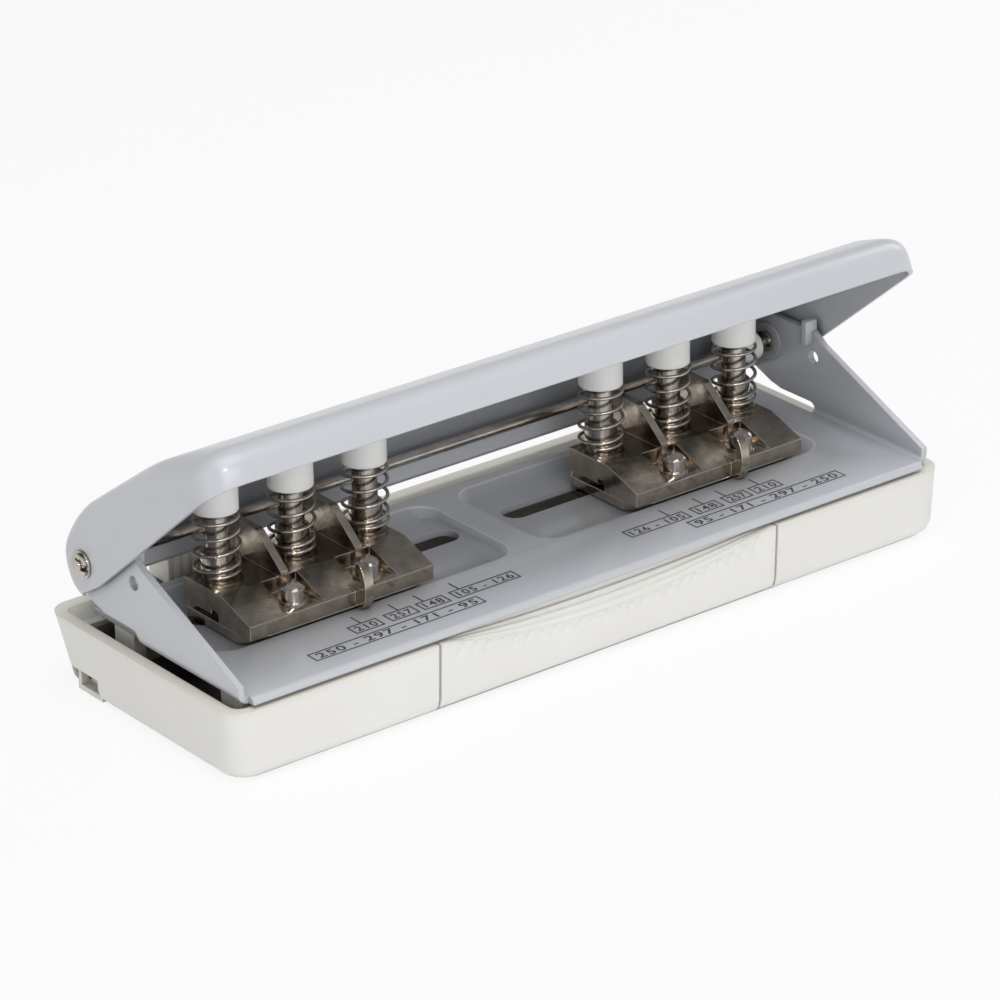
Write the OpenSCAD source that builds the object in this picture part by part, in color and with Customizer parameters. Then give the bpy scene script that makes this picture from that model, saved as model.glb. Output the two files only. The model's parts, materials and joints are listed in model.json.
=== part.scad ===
// Adjustable six-hole paper punch with a press lever, two sliding punch heads and a chip tray.
// X runs along the punch row, -Y is the front with the latch, Z is up from the table.

/* [Tray] */
// Width of the tray across its rim
tray_w = 191.6; // [191:0.2:194]
// Depth of the tray from front to back
tray_d = 67.6; // [67:0.2:72]
// Height of the tray's rim above the table
tray_h = 16.3; // [15.5:0.1:20]
// Thickness of the tray's side and rear walls
tray_wall = 2.5; // [1.6:0.1:2.6]
// Thickness of the tray's floor
tray_floor = 1.8; // [1.2:0.1:3]
// Rounding where the walls meet the floor
tray_foot_r = 3.6; // [2:0.2:5]
// Rounding of the upright corners
tray_corner_r = 5; // [4:0.5:8]
// How much narrower each side is at the table than at the rim
tray_draft = 0.7; // [0.2:0.1:1]
// How far the rear wall leans in from the rim to the table
tray_rear_lean = 6.2; // [4:0.2:7]

/* [Latch] */
// Width of the latch tab in the front wall
latch_w = 90.4; // [60:0.4:110]
// Thickness of the latch tab
latch_t = 4; // [3.4:0.1:4.6]
// Gap between the tab and the wall at each end
latch_gap = 0.6; // [0.4:0.1:1]
// Drop of the thumb scoop at its middle
scoop_drop = 5.4; // [3:0.2:7]
// Number of steps in the thumb scoop
scoop_steps = 4; // [2:1:5]
// Number of grip grooves under the scoop
grip_count = 24; // [8:1:30]

/* [Paper guide] */
// Length of the pull-out paper guide
guide_l = 150; // [110:1:180]
// Width of the guide bar
guide_w = 9; // [7:0.2:10]
// Height of the guide bar
guide_h = 5.2; // [4:0.1:5.6]

/* [Frame] */
// Width of the frame over its ears
frame_w = 185.2; // [180:0.2:185.6]
// Thickness of the pressed sheet
sheet_t = 1.5; // [1:0.1:1.6]
// Height of the plate's underside above the tray's rim
plate_rise = 0.8; // [0.6:0.1:2]
// Distance of the punch row behind the tray's middle
row_back = 7.8; // [7:0.2:9]
// Reach of the plate in front of the punch row
plate_front = 40.9; // [38:0.1:41.2]
// Reach of the plate behind the punch row
plate_rear = 16; // [14.8:0.1:17]
// Height of the ears above the plate
ear_h = 19; // [17.5:0.1:20]
// Depth of the two pressed recesses
recess_depth = 2; // [1.4:0.1:2.2]
// Plan width of a recess's sloping wall
recess_slope = 3.2; // [2:0.1:3.6]
// Width of the slots through the recess floors
slot_w = 6.5; // [6.2:0.1:7.5]
// Height of the paper gap between plate and ears at the side
gap_h = 1.9; // [1.7:0.1:2.4]

/* [Hinge] */
// Diameter of the hinge shaft
shaft_d = 2.5; // [2:0.1:3]
// Distance of the shaft behind the punch row
shaft_back = 12.2; // [11.8:0.1:12.6]
// Height of the shaft above the plate
shaft_rise = 12.2; // [11.6:0.1:12.6]
// Radial running clearance on the shaft and the pins
running = 0.06; // [0.02:0.01:0.1]
// Clearance between parts that slide past each other
slide_gap = 0.3; // [0.2:0.05:0.4]

/* [Lever] */
// Width of the press lever over its flanges
lever_w = 189.2; // [188.6:0.2:190]
// Thickness of the lever's sheet
lever_t = 1; // [0.8:0.1:1.1]
// Reach of the lever from the shaft to its front face
lever_reach = 59; // [54:0.1:62]
// Height of the lever's roof over the shaft, square to the roof
lever_roof = 10.5; // [10.2:0.1:10.8]
// Slope of the roof at rest, in degrees
lever_rest = 35.1; // [34:0.1:37]

/* [Punch heads] */
// Distance between neighbouring pins of a head
pitch = 19; // [18:0.5:20]
// Sideways place of the middle of the hole pattern
pattern_x = -1.4; // [-2:0.1:0]
// Distance from the pattern's middle to the nearest pin of the left head
half_gap_a = 30.2; // [28:0.1:31]
// Distance from the pattern's middle to the nearest pin of the right head
half_gap_b = 33.8; // [32:0.1:34]
// Head length beyond its left pin
head_left = 6.15; // [5.6:0.05:6.4]
// Head length beyond its right pin
head_right = 2.75; // [2.4:0.05:3.2]
// Height of a head above the plate
head_h = 7; // [6:0.1:8]
// Height of the head's front edge above the plate
nose_h = 3.5; // [3:0.1:4.5]
// Height of the paper throat between jaw and die
throat_h = 1.3; // [0.8:0.1:1.6]
// Thickness of a head's ribs
rib_t = 1.8; // [1.2:0.1:2.4]
// Diameter of the rivet heads
rivet_d = 5.2; // [4:0.1:5.6]

/* [Punches] */
// Diameter of the punch pins
pin_d = 5.5; // [5:0.1:5.8]
// Outer diameter of the guide bushings
bushing_d = 7.2; // [6.8:0.1:7.4]
// Height of the bushings above the head
bushing_h = 5.4; // [4:0.1:6]
// Outer diameter of the springs
spring_d = 10.4; // [10:0.1:10.8]
// Diameter of the spring wire
wire_d = 0.8; // [0.7:0.05:0.9]
// Length of the springs at rest
spring_l = 14.6; // [13.6:0.1:15]
// Open turns of a spring
open_turns = 3; // [2:1:4]
// Diameter of the caps
cap_d = 9.8; // [9:0.1:10.4]
// Height of the straight part of a cap
cap_h = 6.2; // [5.6:0.1:6.4]
// Height of the dome on a cap
cap_dome = 2; // [1.2:0.1:2.2]

/* [Hidden] */
$fn = 64;
hull_fn = 32;
overrun = 1;
sliver = 0.02;

ivory = [0.93, 0.92, 0.88];
paint = [0.77, 0.79, 0.82];
nickel = [0.52, 0.49, 0.46];
steel = [0.78, 0.78, 0.80];
white = [0.95, 0.95, 0.93];

// Heights, measured up from the table
plate_z = tray_h + plate_rise;
plate_top = plate_z + sheet_t;
recess_z = plate_top - recess_depth;
shaft_z = plate_top + shaft_rise;
shaft_r = shaft_d / 2;
bore_r = shaft_r + running;

// Tray
tray_front = -tray_d / 2;
tray_rear = tray_d / 2;
tray_x = tray_w / 2;
rest_rib_t = 3;
rest_rib_l = 7;
rest_front_y = -32;
rest_x = 88;
rest_rear_y = 6;

// Latch tab in the front wall
latch_x = 1.6;
latch_foot = 1.3;
scoop_step = 0.62;
grip_r = 0.8;
grip_l = 7;
grip_lean = 17;
grip_fade = 5;

// Paper guide and its channel
guide_y = 13;
guide_z = 0.4;
guide_out = 1.8;
rail_w = 0.9;
rail_h = 1;
guide_x = -tray_x + guide_out;
channel_y = guide_w / 2 + slide_gap;
channel_top = guide_z + guide_h + slide_gap;
channel_wall = 1.2;
finger_pocket = 2.4;

// Sliding edge stop on the rear wall and its rail
stop_x = -65.5;
stop_slide_w = 9;
stop_front_y = 18;
stop_rear_y = 25.4;
stop_rise = 6;
stop_leg_t = 2.3;
stop_leg_h = 6.4;
stop_rib_w = 1;
stop_rail_z = 11.6;
stop_rail_h = 1.2;
stop_rail_w = 1.1;
stop_rail_x = [-90, -36];

// Plate, bends and ears
plate_edge_r = 1.3;
bend_r = 2.5;
ear_front = 39.2;
ear_tip_h = 2.4;
ear_crest_y = -3;
ear_rear_r = 4.8;
ear_slope_h = 16.6;
gap_end = -2.2;
flare_y = 11;
flare_h = 2.9;
ear_hole_y = -3.3;
ear_hole_h = 12.8;
ear_hole_r = 1.6;
ear_boss_r = 4.4;
ear_boss_t = 0.4;
stop_w = 3.4;
stop_y = -2;
stop_h = 2.6;
stop_root = 3;

// Recesses and slots
recess_front = 20.3;
recess_rear = 14;
recess_inner_slope = 0.8;
recess_corner_r = 6;
recess_1_out = -84.5;
recess_1_in = -6;
recess_2_in = 0.6;
recess_2_out = 80.5;
slot_margin = 0.25;

// Rear bar
bar_y = shaft_back + ear_rear_r - sheet_t;
bar_low = 4.6;
bar_bevel = 1.1;
bar_h = 6.4;

// Shaft ends, rings, washers and roller
ring_t = 0.6;
ring_d = 5;
groove_depth = 0.3;
groove_play = 0.05;
washer_t = 0.4;
washer_d = 6;
washer_play = 0.15;
shaft_tail = 0.45;
roller_x = 77;
roller_l = 10;
roller_d = 6.4;
ear_in = frame_w / 2 - sheet_t;
flange_out = lever_w / 2;
washer_x = flange_out + washer_play;
ring_out_x = washer_x + washer_t + groove_play;
ring_in_x = ear_in - ear_boss_t - slide_gap - ring_t;
shaft_half = ring_out_x + ring_t + shaft_tail;

// Lever, drawn with its roof level and its front towards -Y, the shaft at the origin
crest_r = 5;
crown_r = 80;
crown_u = 32.2;
fold_v = 1.6;
lip_in = 1.2;
lip_v = -1.7;
heel_r = 7.8;
heel_v = -5.8;
roof_rear = 12;
wrap_end = 5;
heel_flat = 2.3;
lever_corner_r = 9;
lever_edge_r = 2;
pad_x = 45;
pad_l = 42;
pad_u = 5;
pad_w = 3.4;
pad_t = 3.4;
crown = [-crown_u, lever_roof - crown_r];
crown_span = lever_reach - crest_r - crown_u;
crest = [-lever_reach + crest_r, crown.y + sqrt(pow(crown_r - crest_r, 2) - pow(crown_span, 2))];
crest_tilt = asin(crown_span / (crown_r - crest_r));
rear_r = (roof_rear * roof_rear + lever_roof * lever_roof - heel_r * heel_r) / (2 * (lever_roof - heel_r));
heel_start = atan2(rear_r - lever_roof, roof_rear);

// Heads
half_gap_min = 9.5;
half_gap_max = 35;
head_rear = 3.7;
head_knee = 9.6;
head_front = 19.7;
throat_back = 6;
pocket_h = 3.6;
relief_w = 2.4;
relief_h = 1;
die_lift = 0.4;
die_rear = 5.7;
die_foot = 2.7;
die_face_h = 0.3;
die_corner = 2;
die_nose_cut = 3.4;
head_mid = [pattern_x - half_gap_a - pitch, pattern_x + half_gap_b + pitch];
head_in = [half_gap_a - half_gap_min, half_gap_min - half_gap_b];
head_out = [half_gap_a - half_gap_max, half_gap_max - half_gap_b];
die_top = plate_top + die_lift;
die_z = recess_z + slide_gap;
throat_top = die_top + throat_h;
head_top = plate_top + head_h;
head_len = head_left + 2 * pitch + head_right;
end_boss_r = 3.6;
pin_bore_r = pin_d / 2 + running;
pocket_z = plate_top + pocket_h;
pocket_left = 3.7;
pocket_right = 5.3;
pocket_back = 9.4;
rivet_y = -15.6;
rivet_x = -1.9;
rivet_shank_r = 1.5;
rivet_flange_t = 0.8;
rivet_flange_w = 0.5;
rivet_h = 4.8;
rivet_seat = 0.02;
rib_front = 10.2;
rib_front_h = 1.2;
shoulder_y = -1;
shoulder_r = 2.7;
shoulder_drop = 0.2;
eye_r = 2.9;
finger_w = 2.2;
finger_x = 2.6;
finger_t = 1.6;
finger_r = 8.6;
finger_y = -14.7;
finger_mid = 4.8;
finger_tip = 145;
finger_root = 16.5;
finger_root_h = 4.5;
keeper_t = 1.2;
keeper_w = 12;
keeper_over = 4.5;
keeper_hole_r = 3.5;
lug_l = 8;

// Punches
cap_z = head_top + spring_l;
pin_low = 0.5;
pin_in_cap = 3;
pin_notch_r = 4.2;
pin_notch_depth = 1;
spring_seat = 0.1;
coil_gap = 0.45;
closed_turns_low = 1;
closed_turns_high = 0.75;
spring_turn = 215;
ring_steps = 8;
tube_sides = 6;

pin_index = [1:6];
function head_of(i) = i <= 3 ? 0 : 1;
function pin_x(i) = head_mid[head_of(i)] + ((i - 1) % 3 - 1) * pitch;

function arc(centre, r, from, to, steps) =
    [for (k = [0:steps]) let (a = from + (to - from) * k / steps) centre + r * [cos(a), sin(a)]];

// Places the punch row, drawn at y = 0, behind the middle of the tray
module at_row() {
    translate([0, row_back, 0])
        children();
}

// Turns a side view drawn in y and z into a solid across the punch, centred on x
module across(w) {
    rotate([90, 0, 90])
        linear_extrude(w, center = true)
            children();
}

module rod(l, r) {
    rotate([0, 90, 0])
        cylinder(h = l, r = r, center = true);
}

module box(low, high) {
    translate(low)
        cube(high - low);
}

module rounded_rect(w, d, r, fn = $fn) {
    square([w - 2 * r, d], center = true);
    square([w, d - 2 * r], center = true);
    for (x = [-1, 1], y = [-1, 1])
        translate([x * (w / 2 - r), y * (d / 2 - r)])
            circle(r, $fn = fn);
}

// One level of the tray's outline, drawn in all round by inset and at the back by lean
module tray_level(z, inset, lean, r) {
    translate([0, -lean / 2, z])
        linear_extrude(sliver)
            rounded_rect(tray_w - 2 * inset, tray_d - 2 * inset - lean, r, hull_fn);
}

// The tray's outer form, or with a wall and a floor its inner form
module tray_form(wall, base, top) {
    foot_r = tray_foot_r - wall / 2;
    hull() {
        for (a = [0:30:90]) {
            z = base + foot_r * (1 - cos(a));
            low_share = 1 - z / tray_h;
            tray_level(z, wall + foot_r * (1 - sin(a)) + tray_draft * low_share,
                tray_rear_lean * low_share, tray_corner_r - wall);
        }
        tray_level(top - sliver, wall, 0, tray_corner_r - wall);
    }
}

module guide_housing() {
    box([-tray_x, row_back + guide_y - channel_y - channel_wall, 0],
        [tray_x, tray_rear, channel_top + channel_wall]);
}

module guide_channel() {
    inner_end = guide_x + guide_l + 2 * slide_gap;
    difference() {
        box([-tray_x - overrun, row_back + guide_y - channel_y, -overrun],
            [inner_end, row_back + guide_y + channel_y, channel_top]);
        for (side = [-1, 1])
            translate([(guide_x + 2 * guide_out + inner_end) / 2, row_back + guide_y + side * channel_y,
                guide_z + guide_h / 2])
                cube([inner_end - guide_x - 2 * guide_out, 2 * rail_w, rail_h], center = true);
    }
}

// Rail inside the rear wall that keeps the sliding stop on the rim
module stop_rail() {
    intersection() {
        tray_form(0, 0, tray_h);
        box([stop_rail_x[0], row_back + stop_front_y + stop_leg_t + slide_gap - stop_rail_w, stop_rail_z],
            [stop_rail_x[1], tray_rear, stop_rail_z + stop_rail_h]);
    }
}

module latch_opening(gap, low) {
    box([latch_x - latch_w / 2 - gap, tray_front - overrun, low],
        [latch_x + latch_w / 2 + gap, tray_front + latch_t + gap / 2, tray_h + overrun]);
}

module tray() color(ivory) {
    difference() {
        union() {
            difference() {
                tray_form(0, 0, tray_h);
                tray_form(tray_wall, tray_floor, tray_h + overrun);
            }
            intersection() {
                tray_form(0, 0, tray_h);
                guide_housing();
            }
            for (x = [-rest_x, rest_x], y = [rest_front_y, rest_rear_y])
                box([x - rest_rib_t / 2, row_back + y - rest_rib_l / 2, tray_floor / 2],
                    [x + rest_rib_t / 2, row_back + y + rest_rib_l / 2, plate_z - slide_gap]);
            stop_rail();
        }
        latch_opening(latch_gap, latch_foot - slide_gap);
        guide_channel();
    }
}

// Thumb scoop: lenses of growing depth whose arcs all meet at the ends of the tab
module latch_scoop() {
    half = latch_w / 2 - tray_floor;
    for (k = [1:scoop_steps]) {
        drop = scoop_drop * (scoop_steps + 1 - k) / scoop_steps;
        r = (half * half + drop * drop) / (2 * drop);
        translate([latch_x, tray_front - overrun, tray_h - drop + r])
            rotate([-90, 0, 0])
                cylinder(h = overrun + k * scoop_step, r = r, $fn = 160);
    }
}

module latch_grips() {
    half = latch_w / 2 - tray_floor;
    r = (half * half + scoop_drop * scoop_drop) / (2 * scoop_drop);
    step = 2 * half / (grip_count + 1);
    for (k = [1:grip_count]) {
        dx = k * step - half;
        z = tray_h - scoop_drop + r - sqrt(r * r - dx * dx);
        translate([latch_x + dx, tray_front - grip_r / 3, z - grip_r / 2])
            rotate([-grip_fade, grip_lean, 0])
                translate([0, 0, -grip_l])
                    cylinder(h = grip_l, r = grip_r, $fn = 24);
    }
}

module latch_tab() color(ivory) {
    difference() {
        intersection() {
            tray_form(0, 0, tray_h);
            box([latch_x - latch_w / 2, tray_front - overrun, latch_foot],
                [latch_x + latch_w / 2, tray_front + latch_t, tray_h]);
        }
        latch_scoop();
        latch_grips();
    }
}

module paper_guide() color(ivory) {
    translate([guide_x, row_back + guide_y, guide_z])
        difference() {
            translate([0, -guide_w / 2, 0])
                cube([guide_l, guide_w, guide_h]);
            for (side = [-1, 1])
                translate([guide_l / 2 + guide_out, side * guide_w / 2, guide_h / 2])
                    cube([guide_l, 2 * (rail_w + slide_gap), rail_h + 2 * slide_gap], center = true);
            translate([0, 0, guide_h / 2 + channel_wall / 2])
                cube([2 * finger_pocket, guide_w - 2 * channel_wall, guide_h - channel_wall], center = true);
        }
}

// Ribbed block on the rear rim with a leg that hooks round the rail
module edge_stop() color(ivory) at_row() {
    half = stop_slide_w / 2;
    top = tray_h + stop_rise;
    rib_step = stop_slide_w / 4;
    difference() {
        union() {
            box([stop_x - half, stop_front_y, tray_h + slide_gap], [stop_x + half, stop_rear_y, top]);
            box([stop_x - half, stop_front_y, tray_h - stop_leg_h],
                [stop_x + half, stop_front_y + stop_leg_t, top]);
        }
        box([stop_x - stop_slide_w, stop_front_y + stop_leg_t - stop_rail_w, stop_rail_z - slide_gap],
            [stop_x + stop_slide_w, stop_rear_y, stop_rail_z + stop_rail_h + slide_gap]);
        for (k = [-1.5:1.5])
            translate([stop_x + k * rib_step, stop_front_y, top])
                cube([stop_rib_w, stop_rib_w, 2 * stop_rise], center = true);
        translate([stop_x, stop_rear_y, top])
            rotate([45, 0, 0])
                cube([2 * stop_slide_w, stop_leg_t, stop_leg_t], center = true);
    }
}

// A pressed recess from rim level down: its outer ends slope gently, its inner ends steeply
module recess_form(x_left, x_right, slope_left, slope_right, sink, side) {
    hull() {
        translate([(x_left + x_right) / 2, (recess_rear - recess_front) / 2, plate_top - side])
            linear_extrude(sliver + side)
                rounded_rect(x_right - x_left, recess_rear + recess_front, recess_corner_r, hull_fn);
        translate([(x_left + slope_left + x_right - slope_right) / 2, (recess_rear - recess_front) / 2,
            recess_z - sink])
            linear_extrude(sliver)
                rounded_rect(x_right - slope_right - x_left - slope_left,
                    recess_rear + recess_front - 2 * recess_slope, recess_corner_r - recess_slope / 2, hull_fn);
    }
}

module recess(k, sink, side) {
    x_left = [recess_1_out, recess_2_in][k];
    x_right = [recess_1_in, recess_2_out][k];
    slope_left = [recess_slope, recess_inner_slope][k];
    slope_right = [recess_inner_slope, recess_slope][k];
    recess_form(x_left - side, x_right + side, slope_left, slope_right, sink, side);
}

// The slot lets the pins and the keeper's lugs through over the head's whole travel
module slot(k) {
    low = head_mid[k] - pitch - pin_d / 2 - slot_margin + min(head_in[k], head_out[k]);
    high = head_mid[k] + pitch + pin_d / 2 + slot_margin + max(head_in[k], head_out[k]);
    translate([(low + high) / 2, 0, recess_z - sheet_t - overrun])
        linear_extrude(sheet_t + recess_depth + 2 * overrun)
            rounded_rect(high - low, slot_w, slot_w / 2 - sliver);
}

module plate_side_view() {
    polygon(concat([[plate_rear, plate_z], [plate_rear, plate_top]],
        arc([-plate_front + plate_edge_r, plate_top - plate_edge_r], plate_edge_r, 90, 180, 10),
        [[-plate_front, plate_z]]));
}

module ear_outline() {
    rear_y = shaft_back + ear_rear_r;
    ear_top = plate_top + ear_h;
    low = plate_z + bend_r;
    polygon([[-ear_front, low], [-ear_front, plate_top + ear_tip_h], [ear_crest_y - stop_w, plate_top + ear_slope_h],
        [ear_crest_y, ear_top], [shaft_back, ear_top], [rear_y, ear_top - ear_rear_r], [rear_y, low]]);
    translate([shaft_back, ear_top - ear_rear_r])
        circle(ear_rear_r);
}

module ear_gap() {
    r = gap_h / 2 + sheet_t / 2;
    rear_y = shaft_back + ear_rear_r + overrun;
    translate([gap_end, plate_top + gap_h - r])
        circle(r);
    translate([gap_end, plate_top + gap_h - 2 * r])
        square([rear_y - gap_end, 2 * r]);
    polygon([[flare_y - 2 * r, plate_top + gap_h], [flare_y, plate_top + gap_h + flare_h / 4],
        [rear_y, plate_top + gap_h + flare_h + overrun / 2], [rear_y, plate_top]]);
}

module bend_profile() {
    intersection() {
        difference() {
            circle(bend_r);
            circle(bend_r - sheet_t);
        }
        translate([0, -bend_r])
            square(bend_r);
    }
}

module ear() {
    difference() {
        union() {
            translate([frame_w / 2 - sheet_t / 2, 0, 0])
                across(sheet_t)
                    ear_outline();
            translate([frame_w / 2 - bend_r, -ear_front, plate_z + bend_r])
                rotate([-90, 0, 0])
                    mirror([0, 1, 0])
                        linear_extrude(ear_front + gap_end + bend_r)
                            bend_profile();
            translate([ear_in - ear_boss_t / 2, shaft_back, shaft_z])
                rod(ear_boss_t, ear_boss_r);
            box([frame_w / 2 - stop_w, stop_y - sheet_t / 2, plate_top + ear_h - stop_root],
                [frame_w / 2, stop_y + sheet_t / 2, plate_top + ear_h + stop_h]);
        }
        translate([frame_w / 2 - bend_r, 0, 0])
            across(4 * bend_r)
                ear_gap();
        translate([frame_w / 2, shaft_back, shaft_z])
            rod(4 * bend_r, bore_r);
        translate([frame_w / 2, ear_hole_y, plate_top + ear_hole_h])
            rod(4 * bend_r, ear_hole_r);
    }
}

module base_frame() color(paint) at_row() {
    difference() {
        union() {
            difference() {
                across(frame_w - 2 * bend_r)
                    plate_side_view();
                for (k = [0, 1])
                    recess(k, sheet_t, 0);
            }
            for (k = [0, 1])
                difference() {
                    recess(k, sheet_t, sheet_t / 2);
                    recess(k, 0, 0);
                    translate([0, 0, plate_top])
                        box([-frame_w, -frame_w, 0], [frame_w, frame_w, overrun]);
                }
            for (side = [0, 1])
                mirror([side, 0, 0])
                    ear();
        }
        for (k = [0, 1])
            slot(k);
    }
}

module rear_bar() color(paint) at_row() {
    low = plate_top + bar_low;
    across(2 * ear_in)
        polygon([[bar_y, low + bar_bevel], [bar_y + bar_bevel, low], [bar_y + sheet_t, low],
            [bar_y + sheet_t, low + bar_h], [bar_y, low + bar_h]]);
}

module shaft_groove(x) {
    translate([x + ring_t / 2, 0, 0])
        difference() {
            rod(ring_t + 2 * groove_play, shaft_d);
            rod(ring_t + overrun, shaft_r - groove_depth);
        }
}

module hinge_shaft() color(steel) at_row() {
    translate([0, shaft_back, shaft_z])
        difference() {
            rod(2 * shaft_half, shaft_r);
            for (side = [0, 1])
                mirror([side, 0, 0]) {
                    shaft_groove(ring_out_x);
                    shaft_groove(ring_in_x);
                }
        }
}

// E-shaped retaining ring in a groove of the shaft
module ring(x) color(steel) at_row() {
    grip = shaft_r - groove_depth;
    translate([x + ring_t / 2, shaft_back, shaft_z])
        difference() {
            rod(ring_t, ring_d / 2);
            rod(ring_t + overrun, grip);
            translate([0, -ring_d / 2, 0])
                cube([ring_t + overrun, ring_d, 2 * grip - groove_depth], center = true);
            for (a = [60, -60])
                rotate([a, 0, 0])
                    translate([0, grip + groove_depth, 0])
                        rod(ring_t + overrun, groove_depth * 1.5);
        }
}

module washer(x) color(steel) at_row() {
    translate([x + washer_t / 2, shaft_back, shaft_z])
        difference() {
            rod(washer_t, washer_d / 2);
            rod(washer_t + overrun, bore_r);
        }
}

module shaft_roller() color(white) at_row() {
    translate([roller_x + roller_l / 2, shaft_back, shaft_z])
        difference() {
            rod(roller_l, roller_d / 2);
            rod(roller_l + overrun, bore_r);
        }
}

module at_lever() {
    translate([0, shaft_back, shaft_z])
        rotate([-lever_rest, 0, 0])
            children();
}

// The lever's roof from the front fold back to the heel, drawn in by inset
function roof_line(inset) = concat(arc(crest, crest_r - inset, 180, 90 + crest_tilt, 12),
    arc(crown, crown_r - inset, 90 + crest_tilt, 90, 12),
    arc([-roof_rear, lever_roof - rear_r], rear_r - inset, 90, heel_start, 10));

// Side view of the lever in its own frame: front towards -y, roof up
module lever_side() {
    polygon(concat([[-lever_reach + lip_in, lip_v], [-lever_reach, fold_v]], roof_line(0),
        arc([0, 0], heel_r, heel_start, asin(heel_v / heel_r), 16), [[-heel_flat, heel_v]]));
}

// Side view of the space inside the sheet, open below, with the roof wrapped down behind the shaft
module lever_side_inside() {
    front = -lever_reach + lever_t;
    polygon(concat([[front + lip_in, -lever_reach], [front + lip_in, lip_v], [front, fold_v]],
        roof_line(lever_t), arc([0, 0], heel_r - lever_t, heel_start, wrap_end, 10),
        [lever_reach * [cos(wrap_end), sin(wrap_end)], [lever_reach, -lever_reach]]));
}

// Bounds that round the lever's front corners and the long edges over its flanges
module lever_rounding(inset) {
    w = lever_w - 2 * inset;
    corner = lever_corner_r - inset;
    edge = lever_edge_r - inset;
    intersection() {
        translate([0, lever_reach - lever_reach / 2 + inset / 2, -lever_reach])
            linear_extrude(2 * lever_reach)
                rounded_rect(w, 3 * lever_reach - inset, corner);
        translate([0, lever_reach, 0])
            rotate([90, 0, 0])
                linear_extrude(3 * lever_reach)
                    translate([0, lever_roof - inset - lever_reach])
                        rounded_rect(w, 2 * lever_reach, edge);
    }
}

module lever() color(paint) at_row() at_lever() {
    difference() {
        intersection() {
            across(lever_w)
                lever_side();
            lever_rounding(0);
        }
        intersection() {
            across(lever_w - 2 * lever_t)
                lever_side_inside();
            lever_rounding(lever_t);
        }
        rod(lever_w + overrun, bore_r);
    }
}

// Strip along the roof, its upper face following the sheet
module lever_pad() color(white) at_row() at_lever() {
    intersection() {
        box([pad_x, -pad_u - pad_w, lever_roof - lever_t - pad_t], [pad_x + pad_l, -pad_u, lever_reach]);
        across(lever_w)
            lever_side_inside();
    }
}

module at_head(k) {
    at_row()
        translate([head_mid[k], 0, 0])
            children();
}

module along_head(left, right) {
    translate([(right - left) / 2, 0, 0])
        across(left + right)
            children();
}

module head_side() {
    nose = plate_top + nose_h;
    polygon([[-head_front, die_top], [-head_front, nose], [-head_knee, head_top], [head_rear, head_top],
        [head_rear, throat_top], [-throat_back, throat_top], [-throat_back, throat_top + relief_h],
        [-throat_back - relief_w, throat_top + relief_h], [-throat_back - relief_w, die_top]]);
}

// Rib with an eye on the shaft, a rounded shoulder and a slope down to the rivet
module rib_side() {
    shoulder_z = shaft_z + eye_r - shoulder_drop - shoulder_r;
    difference() {
        union() {
            polygon([[-rib_front, throat_top], [-rib_front, head_top + rib_front_h],
                [shoulder_y - shoulder_r, shoulder_z + shoulder_r / 2], [shoulder_y, shoulder_z + shoulder_r],
                [shaft_back, shaft_z + eye_r], [shaft_back, shaft_z - eye_r], [head_rear, throat_top + throat_h],
                [-pocket_back, throat_top + throat_h], [-pocket_back, throat_top]]);
            translate([shoulder_y, shoulder_z])
                circle(shoulder_r);
            translate([shaft_back, shaft_z])
                circle(eye_r);
        }
        translate([shaft_back, shaft_z])
            circle(bore_r);
    }
}

// Pointer: a bowed strip with a round free end, standing in front of the nose
module finger_side() {
    foot_z = plate_top + slide_gap;
    bow = [finger_y, plate_top + finger_mid];
    inner_r = finger_r - finger_t;
    tip = bow + (finger_r - finger_t / 2) * [cos(finger_tip), sin(finger_tip)];
    polygon(concat([[-head_front - slide_gap, foot_z]],
        arc(bow, finger_r, 180 + asin((bow.y - foot_z) / finger_r), finger_tip, 14),
        arc(tip, finger_t / 2, finger_tip, finger_tip - 180, 8),
        arc(bow, inner_r, finger_tip, 180, 6),
        [[-finger_root, plate_top + finger_root_h], [-finger_root, die_top], [-head_front - slide_gap, die_top]]));
}

module pocket(x) {
    box([x - pocket_left, -head_front - overrun, pocket_z], [x + pocket_right, -pocket_back, head_top + overrun]);
}

module head(k) color(nickel) at_head(k) {
    difference() {
        union() {
            along_head(pitch + head_left, pitch + head_right)
                head_side();
            translate([pitch, 0, throat_top])
                cylinder(h = head_top - throat_top, r = end_boss_r);
        }
        for (x = [-pitch, 0, pitch])
            translate([x, 0, throat_top - overrun])
                cylinder(h = head_h, r = pin_bore_r);
        for (x = [rivet_x - pitch / 2, rivet_x + pitch / 2]) {
            pocket(x);
            translate([x, rivet_y, die_z])
                cylinder(h = head_h, r = rivet_shank_r + rivet_seat);
        }
    }
    for (x = [-pitch / 2, pitch / 2])
        translate([x, 0, 0])
            across(rib_t)
                rib_side();
    translate([finger_x, 0, 0])
        across(finger_w)
            finger_side();
}

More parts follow.
